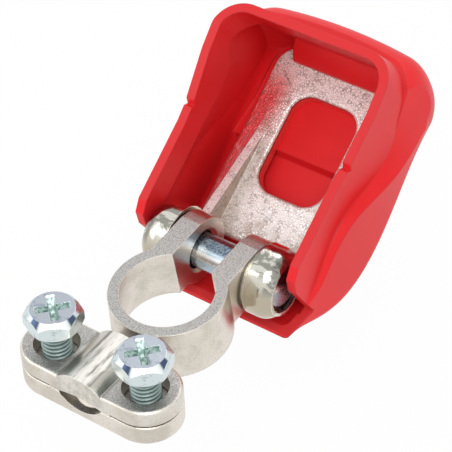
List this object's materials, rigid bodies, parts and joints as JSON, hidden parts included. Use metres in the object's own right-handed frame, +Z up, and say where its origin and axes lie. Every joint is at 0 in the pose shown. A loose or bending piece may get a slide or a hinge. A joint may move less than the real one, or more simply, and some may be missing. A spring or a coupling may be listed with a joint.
{
  "type": "battery terminal clamp",
  "caption": "Quick-release battery terminal clamp: a split ring with two ears, a hinged squeeze lever under a moulded red hood, and a screw-down cable saddle.",
  "frame": {"origin": "on the axis of the post bore, at the lower face of the ring", "axes": "+Z up along the post bore, +Y towards the hinge pin, -Y towards the cable clamp"},
  "size_m": [0.0436, 0.0987, 0.0475],
  "materials": {
    "plated_casting": "tin-plated casting, satin",
    "plated_saddle": "tin-plated casting, satin",
    "zinc_screw": "bright zinc plating",
    "pin_steel": "bright zinc plating",
    "plated_lever": "bright plated rough casting",
    "red_hood": "moulded, semi-gloss"
  },
  "bodies": {
    "base": {"terminal_body": "plated_casting", "hinge_pin": "pin_steel"},
    "lever_arm": {"lever": "plated_lever", "cover": "red_hood"},
    "saddle": {"saddle": "plated_saddle"},
    "left_screw": {"screw_left": "zinc_screw"},
    "right_screw": {"screw_right": "zinc_screw"}
  },
  "joints": [
    {"name": "lever_hinge", "type": "hinge", "parent": "base", "child": "lever_arm", "pos_m": [0, 0.0175, 0.0043], "axis": [1, 0, 0], "range_deg": [-45, 136]},
    {"name": "saddle_slide", "type": "slide", "parent": "base", "child": "saddle", "axis": [0, -0.0837, -0.9965], "range_m": [-0.002, 0.00025]},
    {"name": "left_screw_travel", "type": "slide", "parent": "saddle", "child": "left_screw", "axis": [0, -0.0837, -0.9965], "range_m": [0, 0.0045]},
    {"name": "right_screw_travel", "type": "slide", "parent": "saddle", "child": "right_screw", "axis": [0, -0.0837, -0.9965], "range_m": [0, 0.0045]}
  ]
}
